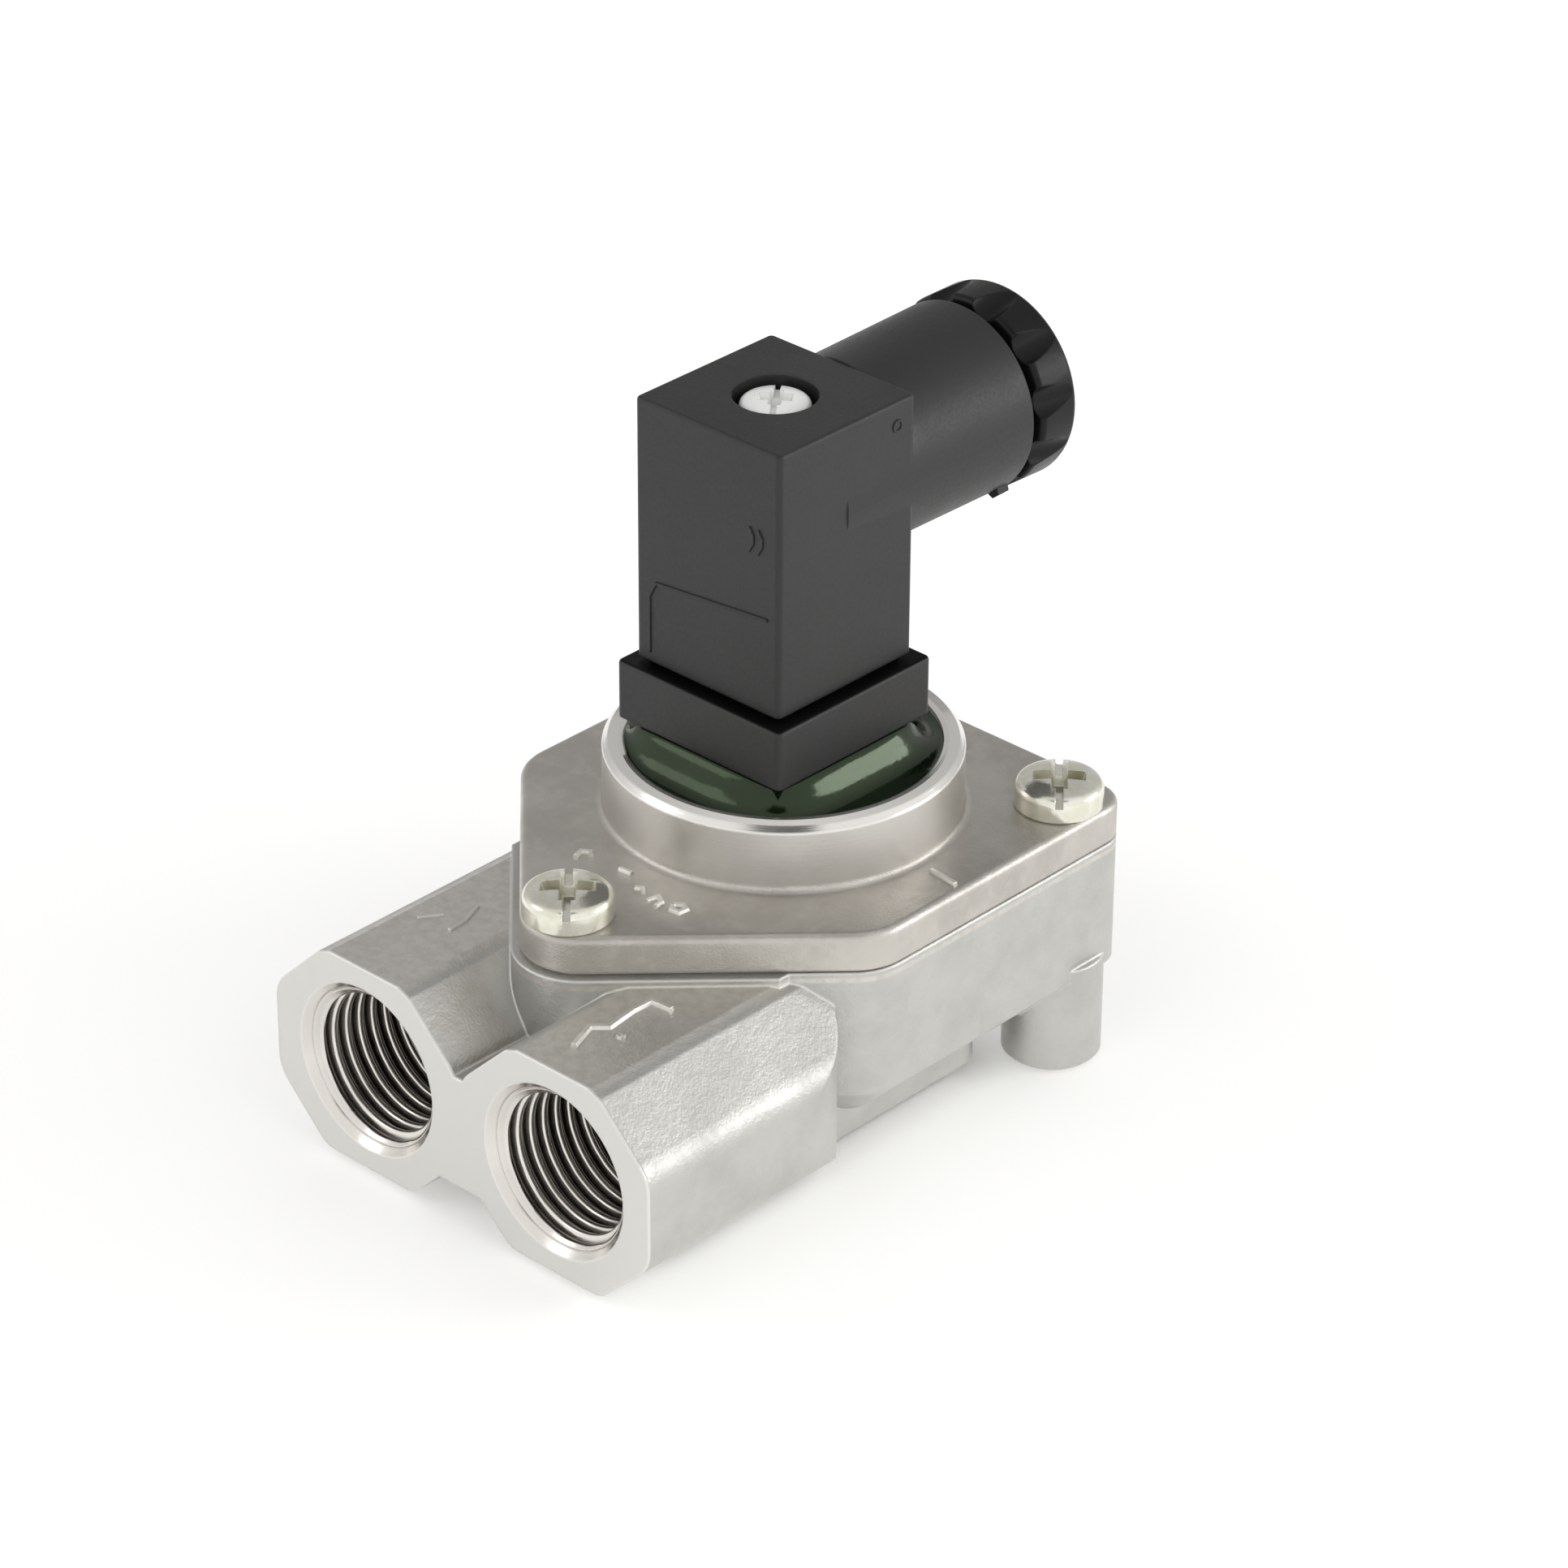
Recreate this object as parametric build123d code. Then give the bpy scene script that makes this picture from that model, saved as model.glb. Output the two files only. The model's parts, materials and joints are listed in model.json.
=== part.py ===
from build123d import *
import os
from math import atan2, degrees, sqrt

# Frame: origin in the base plane under the collar's axis, ports towards -Y, cable gland towards +Y, +Z up.
# Millimetres.

# Body and cover, in plan
HALF_WIDTH = 19.1
BACK_Y = 19.1
DIAGONAL = 20.3            # distance of each front diagonal from the collar's axis
REAR_CORNER_R = 2.8
SMALLEST_CORNER_R = 0.6
SHOULDER_R = 5.0
APEX_R = 4.6
FRONT_SCREW = (0.0, -23.5)
REAR_SCREW_X, REAR_SCREW_Y = 15.7, 14.3

# Heights
WALL_BOTTOM = 8.1          # the upper walls end here and slope in to the chamber block
SLOPE_BOTTOM = 4.6
PARTING = 18.9
COVER_TOP = 22.2
COLLAR_TOP = 27.8
RESIN_LEVEL = 26.9
FLANGE_BOTTOM, FLANGE_TOP = 29.7, 34.6
PLUG_BOTTOM, PLUG_TOP = 35.0, 56.9

# Ports: G 1/4 (ISO 228-1), bore at the thread's major radius
PORT_X, PORT_Z = 10.0, 9.3
PORT_FACE_Y = -35.3
PORT_R = 6.58
PORT_MOUTH_R = 7.2
PORT_DEPTH = 12.0
BLOCK_REAR_Y = -11.5
BLOCK_TOP, BLOCK_BOTTOM = 9.0, 8.9   # port block above and below the port's axis
BLOCK_SIDE = 9.8
BLOCK_SIDE_TOP, BLOCK_SIDE_BOTTOM = 3.7, 4.0
BLOCK_TOP_HALF, BLOCK_BOTTOM_HALF = 4.4, 4.8
BLOCK_SIDE_R, BLOCK_BOTTOM_R, BLOCK_TOP_EDGE = 3.2, 2.0, 0.7
BLOCK_REAR_R = 6.0
WEB_HALF, WEB_BACK_Y = 3.2, -18.0
WEB_BOTTOM, WEB_TOP = 3.3, 13.0

# Chamber block under the body, and the milled step round the cover's seat
CHAMBER_HALF = 14.6
CHAMBER_FRONT_Y, CHAMBER_BACK_Y = -14.0, 7.4
CHAMBER_CORNER_R, CHAMBER_BOTTOM_EDGE = 2.0, 1.9
PAD_GROW = 0.7
PAD_HALF, PAD_BACK_Y = 14.2, -14.5

# Collar
COLLAR_R = 14.0
COLLAR_BORE_R = 12.3
COLLAR_ROOT_R, COLLAR_EDGE = 0.5, 0.5
COVER_EDGE_R, COVER_LOWER_EDGE = 0.6, 0.25

# Flow path
CHAMBER_R = 12.0
CHAMBER_FLOOR = 11.5
INLET_R, INLET_END_Y = 4.0, 1.0
OUTLET_R, OUTLET_Z = 3.0, 7.0
SEAT_R, SEAT_BORE_R = 3.5, 1.8
SEAT_TOP = 13.1
SEAT_PRESS_DEPTH = 1.4
SEAT_FLANGE_R, SEAT_FLANGE_T = 4.6, 0.7
SEAT_LIP = 0.5

# Guide tube, plunger and coil
TUBE_R, TUBE_WALL = 4.6, 0.4
TUBE_TOP = 26.5
TUBE_FLANGE_R, TUBE_FLANGE_T = 14.4, 0.8
SEAL_SEAT_Z = 16.8         # floor of the counterbore that holds the body seal
BODY_SEAL_R = 13.2
PLUNGER_R = 4.12
PLUNGER_BOTTOM, PLUNGER_TOP = 13.6, 21.4
PLUNGER_SEAL_R, PLUNGER_SEAL_TOP = 2.9, 14.8
CORE_EDGE, SPRING_POCKET_GAP = 0.3, 0.1
CORE_BOTTOM = 22.5
SPRING_SEAT_Z = 18.0
SPRING_R, SPRING_WIRE = 1.6, 0.35
SPRING_TURNS = 5
YOKE_R, YOKE_T = 11.7, 1.0
YOKE_RING_T = 1.1
COIL_BOTTOM, COIL_TOP = 19.9, 24.8
BOBBIN_WALL = 0.6
WINDING_R = 10.2
LEAD_R, LEAD_HOLE_R = 0.3, 0.4
LEAD_Y, LEAD_TOP = -7.5, 28.0
LEAD_SLOT_HALF, LEAD_SLOT_INNER_Y, LEAD_SLOT_OUTER_Y = 1.0, -6.0, -9.0

# Cover screws (M4 cheese head)
SCREW_R, SCREW_HEAD_R, SCREW_HEAD_H = 2.0, 3.5, 2.6
SCREW_CLEARANCE_R = 2.25
SCREW_END_Z = 11.0
HEAD_EDGE_SHARE = 0.28     # of a screw head's height
SLOT_DEPTH_SHARE = 0.5     # of a screw head's height
SLOT_WIDTH_SHARE, SLOT_LENGTH_SHARE, CROSS_LENGTH_SHARE = 0.28, 2.6, 1.25   # of a screw head's radius
FOOT_R = 3.95
FOOT_EDGE = 0.3
FOOT_HOLE_R, FOOT_HOLE_DEPTH = 1.65, 6.5

# Electrical plug, potted a little off the collar's axis
PLUG_X, PLUG_Y = -0.65, -0.45
COLUMN_CORNER_R, FLANGE_CORNER_R, TOP_EDGE_R = 0.45, 0.5, 0.3
COLUMN = 14.8
FLANGE = 17.0
WALL = 1.5
COLUMN_CEILING = 53.2
MOUND = 15.6               # resin under the flange
KEY, KEY_BOTTOM = 12.0, 28.2
NECK, NECK_TOP = 10.8, 37.0
GASKET = 13.4
BASE_NUT_R, BASE_NUT_BOTTOM = 2.4, 29.0
BLADE_PITCH, EARTH_PITCH = 4.0, 4.6
BLADE_T, BLADE_W = 0.8, 2.8
BLADE_BOTTOM, BLADE_TOP = 27.4, 42.0
CARRIER = 11.5
CARRIER_BOTTOM, CARRIER_TOP = 37.4, 47.0
SOCKET_WALL, SOCKET_GAP = 0.7, 0.07
SOCKET_BOTTOM, SOCKET_TOP, SOCKET_END = 37.8, 44.5, 42.6
TERMINAL_R, TERMINAL_HEAD_R, TERMINAL_HEAD_H = 0.9, 1.4, 1.0
TERMINAL_SLOT_W, TERMINAL_SLOT_H = 0.4, 0.4
GLAND_Z = 49.4
GLAND_R, GLAND_END_Y = 7.8, 20.1
GLAND_ROOT_R, GLAND_ROOT_HALF = 7.5, 4.0   # drafted tube, just proud of the column's flanks
SPIGOT_R, SPIGOT_END_Y = 6.6, 23.6
GLAND_BORE_R = 5.6
GROMMET_Y = 13.0
WASHER_Y, WASHER_T = 22.2, 1.5
WASHER_GAP, WASHER_CABLE_GAP = 0.1, 0.4
NUT_R, NUT_START_Y, NUT_END_Y = 8.0, 21.0, 25.0
NUT_THREAD_GAP = 0.08
NUT_HOLE_R, NUT_EDGE_R = 4.0, 0.5
NUT_SCALLOPS, FIRST_SCALLOP = 11, 12.0
SCALLOP_R, SCALLOP_DEPTH, SCALLOP_LAND = 1.5, 0.95, 0.6
CABLE_R = 3.0
HEAD_RECESS_R = 3.3
PLUG_SCREW_R, PLUG_HEAD_R, PLUG_HEAD_H = 1.5, 2.75, 1.8
PLUG_HEAD_BOTTOM = 55.0
PLUG_SCREW_END = 31.0
PLUG_SCREW_GAP = 0.08
SCREW_SEAL_T = 0.6


def cylinder_z(radius, z0, z1, x=0.0, y=0.0):
    """Upright cylinder between two heights."""
    return Pos(x, y, (z0 + z1) / 2) * Cylinder(radius, z1 - z0)


def cylinder_y(radius, y0, y1, x, z):
    """Cylinder along Y between two stations."""
    return Pos(x, (y0 + y1) / 2, z) * Rot(90, 0, 0) * Cylinder(radius, y1 - y0)


def tube_z(outer, inner, z0, z1, x=0.0, y=0.0):
    """Upright ring between two heights."""
    return cylinder_z(outer, z0, z1, x, y) - cylinder_z(inner, z0, z1, x, y)


def block(x0, x1, y0, y1, z0, z1):
    """Box between two corners."""
    return Pos((x0 + x1) / 2, (y0 + y1) / 2, (z0 + z1) / 2) * Box(x1 - x0, y1 - y0, z1 - z0)


def plug_block(width, z0, z1):
    """Square block centred on the plug's axis."""
    return Pos(PLUG_X, PLUG_Y, (z0 + z1) / 2) * Box(width, width, z1 - z0)


def pentagon(grow=0.0):
    """Plan outline that the cover and the body share."""
    side = HALF_WIDTH + grow
    back = BACK_Y + grow
    apex = -(DIAGONAL + grow) * sqrt(2)
    points = [(side, back), (-side, back), (-side, side + apex), (0, apex), (side, side + apex)]
    outline = make_face(Polyline(*points, close=True))
    corners = outline.vertices().sort_by(Axis.Y)
    outline = fillet(corners[-2:], max(REAR_CORNER_R + grow, SMALLEST_CORNER_R))
    corners = outline.vertices().sort_by(Axis.Y)
    outline = fillet(corners[1:3], SHOULDER_R + grow)
    corners = outline.vertices().sort_by(Axis.Y)
    return fillet(corners[0], APEX_R + grow)


def port_section():
    """Port block's section in the XZ plane about the port's axis: a rounded octagon."""
    half = [(BLOCK_TOP_HALF, BLOCK_TOP), (BLOCK_SIDE, BLOCK_SIDE_TOP)]
    half += [(BLOCK_SIDE, -BLOCK_SIDE_BOTTOM), (BLOCK_BOTTOM_HALF, -BLOCK_BOTTOM)]
    points = half + [(-x, z) for x, z in reversed(half)]
    outline = make_face(Polyline(*points, close=True))
    sides = [v for v in outline.vertices() if abs(v.X) > BLOCK_SIDE - 1]
    outline = fillet(sides, BLOCK_SIDE_R)
    lower = [v for v in outline.vertices() if v.Y < 1 - BLOCK_BOTTOM]
    outline = fillet(lower, BLOCK_BOTTOM_R)
    upper = [v for v in outline.vertices() if v.Y > BLOCK_TOP - 1]
    return chamfer(upper, BLOCK_TOP_EDGE)


def port_block(sign):
    """Octagonal block round one port, with its rear outer corner rounded in plan."""
    plane = Plane(origin=(sign * PORT_X, PORT_FACE_Y, PORT_Z), x_dir=(1, 0, 0), z_dir=(0, -1, 0))
    length = BLOCK_REAR_Y - PORT_FACE_Y
    prism = extrude(plane * port_section(), amount=-length)
    width = PORT_X + BLOCK_SIDE
    plan = Pos(sign * width / 2, (PORT_FACE_Y + BLOCK_REAR_Y) / 2) * Rectangle(width, length)
    corner = [v for v in plan.vertices() if abs(v.X) > 1 and v.Y > BLOCK_REAR_Y - 1]
    return prism & extrude(fillet(corner, BLOCK_REAR_R), amount=PARTING)


def port_hole(sign):
    """Threaded port with its chamfered mouth."""
    bore = cylinder_y(PORT_R, PORT_FACE_Y, PORT_FACE_Y + PORT_DEPTH, sign * PORT_X, PORT_Z)
    depth = PORT_MOUTH_R - PORT_R
    place = Pos(sign * PORT_X, PORT_FACE_Y + depth / 2, PORT_Z)
    return bore + place * Rot(90, 0, 0) * Cone(PORT_R, PORT_MOUTH_R, depth)


def upper_shell():
    """Walls under the cover, with the sloped skirt that narrows to the chamber block."""
    rim = Pos(0, 0, WALL_BOTTOM) * pentagon()
    foot = Pos(0, 0, SLOPE_BOTTOM) * pentagon(SLOPE_BOTTOM - WALL_BOTTOM)
    return extrude(rim, amount=PARTING - WALL_BOTTOM) + loft([foot, rim], ruled=True)


def chamber_block():
    """Lower block that holds the flow passages and the flat base."""
    solid = block(-CHAMBER_HALF, CHAMBER_HALF, CHAMBER_FRONT_Y, CHAMBER_BACK_Y, 0, SLOPE_BOTTOM + 1)
    solid = fillet(solid.edges().filter_by(Axis.Z).sort_by(Axis.Y)[-2:], CHAMBER_CORNER_R)
    return chamfer(solid.faces().sort_by(Axis.Z)[0].edges().sort_by(Axis.Y)[1:], CHAMBER_BOTTOM_EDGE)


def milled_pad():
    """Step round the cover's seat, on the port blocks and the front screw's boss."""
    pad = extrude(Pos(0, 0, WEB_TOP) * pentagon(PAD_GROW), amount=PARTING - WEB_TOP)
    return pad & block(-PAD_HALF, PAD_HALF, PORT_FACE_Y, PAD_BACK_Y, 0, PARTING)


def rear_foot(sign):
    """Round foot under one rear screw."""
    foot = cylinder_z(FOOT_R, 0, WALL_BOTTOM + 1, sign * REAR_SCREW_X, REAR_SCREW_Y)
    return chamfer(foot.edges().sort_by(Axis.Z)[0], FOOT_EDGE)


def make_valve_body():
    body = upper_shell() + chamber_block() + milled_pad()
    body += block(-WEB_HALF, WEB_HALF, PORT_FACE_Y, WEB_BACK_Y, WEB_BOTTOM, WEB_TOP)
    for sign in (-1, 1):
        body += port_block(sign)
        body += rear_foot(sign)
    for sign in (-1, 1):
        body -= port_hole(sign)
        body -= cylinder_z(FOOT_HOLE_R, 0, FOOT_HOLE_DEPTH, sign * REAR_SCREW_X, REAR_SCREW_Y)
    for x, y in screw_places():
        body -= cylinder_z(SCREW_R, SCREW_END_Z - 1, PARTING, x, y)
    return body - flow_path()


def flow_path():
    """Passages from the inlet port to the chamber and from the seat to the outlet port."""
    passage_start = PORT_FACE_Y + PORT_DEPTH - 1
    path = cylinder_y(INLET_R, passage_start, INLET_END_Y, -PORT_X, PORT_Z)
    path += cylinder_y(OUTLET_R, passage_start, OUTLET_R, PORT_X, OUTLET_Z)
    path += Pos(PORT_X / 2, 0, OUTLET_Z) * Rot(0, 90, 0) * Cylinder(OUTLET_R, PORT_X)
    path += cylinder_z(OUTLET_R, OUTLET_Z, CHAMBER_FLOOR)
    path += cylinder_z(SEAT_R, CHAMBER_FLOOR - SEAT_PRESS_DEPTH, CHAMBER_FLOOR)
    path += cylinder_z(CHAMBER_R, CHAMBER_FLOOR, PARTING)
    return path + cylinder_z(TUBE_FLANGE_R, SEAL_SEAT_Z, PARTING)


def make_cover():
    plate = extrude(Pos(0, 0, PARTING) * pentagon(), amount=COVER_TOP - PARTING)
    plate = fillet(plate.faces().sort_by(Axis.Z)[-1].edges(), COVER_EDGE_R)
    plate = chamfer(plate.faces().sort_by(Axis.Z)[0].edges(), COVER_LOWER_EDGE)
    collar = cylinder_z(COLLAR_R, COVER_TOP, COLLAR_TOP)
    cover = plate + collar
    root = [e for e in cover.edges().filter_by(GeomType.CIRCLE) if abs(e.radius - COLLAR_R) < 0.01]
    root = sorted(root, key=lambda e: e.center().Z)
    cover = fillet(root[0], COLLAR_ROOT_R)
    rim = cover.edges().filter_by(GeomType.CIRCLE).sort_by(Axis.Z)[-1]
    cover = chamfer(rim, COLLAR_EDGE)
    cover -= cylinder_z(COLLAR_BORE_R, PARTING, COLLAR_TOP)
    for x, y in screw_places():
        cover -= cylinder_z(SCREW_CLEARANCE_R, PARTING, COVER_TOP, x, y)
    return cover


def screw_places():
    """Plan positions of the three cover screws."""
    return [FRONT_SCREW, (-REAR_SCREW_X, REAR_SCREW_Y), (REAR_SCREW_X, REAR_SCREW_Y)]


def cross_slot(radius, z_top, depth, x, y):
    """Combined cross recess and slot that is cut in a screw head."""
    width = SLOT_WIDTH_SHARE * radius
    slot = Box(SLOT_LENGTH_SHARE * radius, width, depth)
    cross = Box(width, CROSS_LENGTH_SHARE * radius, depth)
    return Pos(x, y, z_top - depth / 2) * (slot + cross)


def cheese_screw(shank_r, head_r, head_z, head_h, end_z, x, y):
    """Cheese-head screw standing upright."""
    head = cylinder_z(head_r, head_z, head_z + head_h, x, y)
    head = fillet(head.edges().sort_by(Axis.Z)[-1], head_h * HEAD_EDGE_SHARE)
    screw = head + cylinder_z(shank_r, end_z, head_z, x, y)
    return screw - cross_slot(head_r, head_z + head_h, head_h * SLOT_DEPTH_SHARE, x, y)


def make_cover_screws():
    screws = []
    for x, y in screw_places():
        screws.append(cheese_screw(SCREW_R, SCREW_HEAD_R, COVER_TOP, SCREW_HEAD_H, SCREW_END_Z, x, y))
    return Compound(children=screws)


def make_body_seal():
    height = PARTING - TUBE_FLANGE_T - SEAL_SEAT_Z
    return Pos(0, 0, SEAL_SEAT_Z + height / 2) * Torus(BODY_SEAL_R, height / 2)


def make_guide_tube():
    flange_z = PARTING - TUBE_FLANGE_T
    tube = cylinder_z(TUBE_R, flange_z, TUBE_TOP) + cylinder_z(TUBE_FLANGE_R, flange_z, PARTING)
    return tube - cylinder_z(TUBE_R - TUBE_WALL, flange_z, TUBE_TOP - TUBE_WALL)


def make_fixed_core():
    core = cylinder_z(TUBE_R - TUBE_WALL, CORE_BOTTOM, TUBE_TOP - TUBE_WALL)
    return chamfer(core.edges().sort_by(Axis.Z)[0], CORE_EDGE)


def make_plunger():
    plunger = cylinder_z(PLUNGER_R, PLUNGER_BOTTOM, PLUNGER_TOP)
    plunger = chamfer(plunger.edges().filter_by(GeomType.CIRCLE), CORE_EDGE)
    plunger -= cylinder_z(SPRING_R + SPRING_WIRE + SPRING_POCKET_GAP, SPRING_SEAT_Z, PLUNGER_TOP)
    return plunger - cylinder_z(PLUNGER_SEAL_R, PLUNGER_BOTTOM, PLUNGER_SEAL_TOP)


def make_plunger_seal():
    return cylinder_z(PLUNGER_SEAL_R, SEAT_TOP, PLUNGER_SEAL_TOP)


def make_return_spring():
    """Coil spring between the plunger's pocket and the fixed core."""
    height = CORE_BOTTOM - SPRING_SEAT_Z - SPRING_WIRE
    path = Helix(pitch=height / SPRING_TURNS, height=height, radius=SPRING_R)
    start = Plane(origin=path @ 0, z_dir=path % 0)
    wire = sweep(start * Circle(SPRING_WIRE / 2), path=path)
    return Pos(0, 0, SPRING_SEAT_Z + SPRING_WIRE / 2) * wire


def make_seat_insert():
    insert = cylinder_z(SEAT_R, CHAMBER_FLOOR - SEAT_PRESS_DEPTH, CHAMBER_FLOOR)
    insert += cylinder_z(SEAT_FLANGE_R, CHAMBER_FLOOR, CHAMBER_FLOOR + SEAT_FLANGE_T)
    insert += cylinder_z(SEAT_BORE_R + SEAT_LIP, CHAMBER_FLOOR, SEAT_TOP)
    return insert - cylinder_z(SEAT_BORE_R, CHAMBER_FLOOR - SEAT_PRESS_DEPTH, SEAT_TOP)


def make_lower_yoke_plate():
    return tube_z(YOKE_R, TUBE_R, PARTING, COIL_BOTTOM)


def make_upper_yoke_plate():
    plate = tube_z(YOKE_R, TUBE_R, COIL_TOP, COIL_TOP + YOKE_T)
    for x in lead_places():
        x0, x1 = x - LEAD_SLOT_HALF, x + LEAD_SLOT_HALF
        plate -= block(x0, x1, LEAD_SLOT_OUTER_Y, LEAD_SLOT_INNER_Y, COIL_TOP, COIL_TOP + YOKE_T)
    return plate


def lead_places():
    """Stations along X of the two coil leads."""
    return [PLUG_X - BLADE_PITCH, PLUG_X + BLADE_PITCH]


def make_yoke_ring():
    return tube_z(YOKE_R, YOKE_R - YOKE_RING_T, COIL_BOTTOM, COIL_TOP)


def make_coil_bobbin():
    hub_r = TUBE_R + BOBBIN_WALL
    bobbin = tube_z(hub_r, TUBE_R, COIL_BOTTOM, COIL_TOP)
    rim = YOKE_R - YOKE_RING_T
    bobbin += tube_z(rim, TUBE_R, COIL_BOTTOM, COIL_BOTTOM + BOBBIN_WALL)
    bobbin += tube_z(rim, TUBE_R, COIL_TOP - BOBBIN_WALL, COIL_TOP)
    for x in lead_places():
        bobbin -= cylinder_z(LEAD_HOLE_R, COIL_TOP - BOBBIN_WALL, COIL_TOP, x, LEAD_Y)
    return bobbin


def make_coil_winding():
    return tube_z(WINDING_R, TUBE_R + BOBBIN_WALL, COIL_BOTTOM + BOBBIN_WALL, COIL_TOP - BOBBIN_WALL)


def make_coil_leads():
    leads = [cylinder_z(LEAD_R, COIL_TOP - BOBBIN_WALL, LEAD_TOP, x, LEAD_Y) for x in lead_places()]
    return Compound(children=leads)


def make_potting_resin():
    resin = cylinder_z(COLLAR_BORE_R, PARTING, RESIN_LEVEL)
    mound = plug_block(MOUND, RESIN_LEVEL, FLANGE_BOTTOM)
    resin += mound & cylinder_z(COLLAR_BORE_R, RESIN_LEVEL, FLANGE_BOTTOM)
    resin -= cylinder_z(YOKE_R, PARTING, COIL_TOP)
    resin -= cylinder_z(TUBE_R, COIL_TOP, TUBE_TOP)
    resin -= make_upper_yoke_plate()
    for lead in make_coil_leads().solids():
        resin -= lead
    for pin in make_contact_pins().solids():
        resin -= pin
    return resin - plug_block(KEY, KEY_BOTTOM, FLANGE_BOTTOM)


def blade_boxes(grow, z0, z1):
    """The three contact blades grown all round: two along Y at the sides, the earth blade at the back."""
    thick, wide = BLADE_T + 2 * grow, BLADE_W + 2 * grow
    boxes = []
    for (x, y), (dx, dy) in zip(terminal_places(), [(thick, wide), (thick, wide), (wide, thick)]):
        boxes.append(block(x - dx / 2, x + dx / 2, y - dy / 2, y + dy / 2, z0, z1))
    return boxes


def make_contact_pins():
    return Compound(children=blade_boxes(0.0, BLADE_BOTTOM, BLADE_TOP))


def make_connector_base():
    base = plug_block(FLANGE, FLANGE_BOTTOM, FLANGE_TOP)
    base = fillet(base.edges().filter_by(Axis.Z), FLANGE_CORNER_R)
    base = fillet(base.faces().sort_by(Axis.Z)[-1].edges(), TOP_EDGE_R)
    base += plug_block(KEY, KEY_BOTTOM, FLANGE_BOTTOM)
    base += plug_block(NECK, FLANGE_TOP, NECK_TOP)
    for pin in blade_boxes(0.0, BLADE_BOTTOM, BLADE_TOP):
        base -= pin
    return base - cylinder_z(BASE_NUT_R, BASE_NUT_BOTTOM, NECK_TOP, PLUG_X, PLUG_Y)


def make_base_nut():
    return tube_z(BASE_NUT_R, PLUG_SCREW_R + PLUG_SCREW_GAP, BASE_NUT_BOTTOM, NECK_TOP, PLUG_X, PLUG_Y)


def make_plug_gasket():
    return plug_block(GASKET, FLANGE_TOP, PLUG_BOTTOM) - plug_block(NECK, FLANGE_TOP, PLUG_BOTTOM)


def make_plug_housing():
    column = plug_block(COLUMN, PLUG_BOTTOM, PLUG_TOP)
    column = fillet(column.edges().filter_by(Axis.Z), COLUMN_CORNER_R)
    column = fillet(column.faces().sort_by(Axis.Z)[-1].edges(), TOP_EDGE_R)
    housing = column + gland_tube()
    housing += cylinder_y(SPIGOT_R, PLUG_Y, SPIGOT_END_Y, PLUG_X, GLAND_Z)
    housing -= plug_block(COLUMN - 2 * WALL, PLUG_BOTTOM, COLUMN_CEILING)
    bore = cylinder_y(GLAND_BORE_R, PLUG_Y, SPIGOT_END_Y, PLUG_X, GLAND_Z)
    column_back = PLUG_Y + COLUMN / 2
    housing -= bore & block(-COLUMN, COLUMN, PLUG_Y, column_back, 0, COLUMN_CEILING)
    housing -= bore & block(-COLUMN, COLUMN, column_back, SPIGOT_END_Y, 0, PLUG_TOP)
    housing -= cylinder_z(HEAD_RECESS_R, PLUG_HEAD_BOTTOM - SCREW_SEAL_T, PLUG_TOP, PLUG_X, PLUG_Y)
    return housing - cylinder_z(PLUG_SCREW_R + PLUG_SCREW_GAP, COLUMN_CEILING, PLUG_TOP, PLUG_X, PLUG_Y)


def gland_tube():
    """Drafted outside of the gland's tube; inside the column only its flanks stand proud."""
    length = GLAND_END_Y - PLUG_Y
    place = Pos(PLUG_X, PLUG_Y + length / 2, GLAND_Z)
    tube = place * Rot(-90, 0, 0) * Cone(GLAND_ROOT_R, GLAND_R, length)
    column_back = PLUG_Y + COLUMN / 2
    return tube - block(-COLUMN, COLUMN, PLUG_Y, column_back, GLAND_Z + GLAND_ROOT_HALF, PLUG_TOP + 1)


def make_terminal_carrier():
    carrier = plug_block(CARRIER, CARRIER_BOTTOM, CARRIER_TOP)
    for socket in blade_boxes(SOCKET_WALL, CARRIER_BOTTOM, SOCKET_TOP):
        carrier -= socket
    for x, y in terminal_places():
        carrier -= cylinder_z(TERMINAL_R, SOCKET_TOP, CARRIER_TOP, x, y)
    return carrier - cylinder_z(PLUG_SCREW_R + PLUG_SCREW_GAP, CARRIER_BOTTOM, CARRIER_TOP, PLUG_X, PLUG_Y)


def terminal_places():
    """Plan positions of the three clamp terminals."""
    sides = [(PLUG_X - BLADE_PITCH, PLUG_Y), (PLUG_X + BLADE_PITCH, PLUG_Y)]
    return sides + [(PLUG_X, PLUG_Y + EARTH_PITCH)]


def make_contact_sockets():
    sockets = []
    outsides = blade_boxes(SOCKET_WALL, SOCKET_BOTTOM, SOCKET_TOP)
    for outside, inside in zip(outsides, blade_boxes(SOCKET_GAP, SOCKET_BOTTOM, SOCKET_END)):
        sockets.append(outside - inside)
    return Compound(children=sockets)


def make_terminal_screws():
    screws = []
    head_top = CARRIER_TOP + TERMINAL_HEAD_H
    for x, y in terminal_places():
        screw = cylinder_z(TERMINAL_R, SOCKET_TOP, CARRIER_TOP, x, y)
        screw += cylinder_z(TERMINAL_HEAD_R, CARRIER_TOP, head_top, x, y)
        slot = Box(2 * TERMINAL_HEAD_R, TERMINAL_SLOT_W, TERMINAL_SLOT_H)
        screws.append(screw - Pos(x, y, head_top - TERMINAL_SLOT_H / 2) * slot)
    return Compound(children=screws)


def make_plug_screw():
    sizes = (PLUG_SCREW_R, PLUG_HEAD_R, PLUG_HEAD_BOTTOM, PLUG_HEAD_H, PLUG_SCREW_END)
    return cheese_screw(*sizes, PLUG_X, PLUG_Y)


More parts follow.
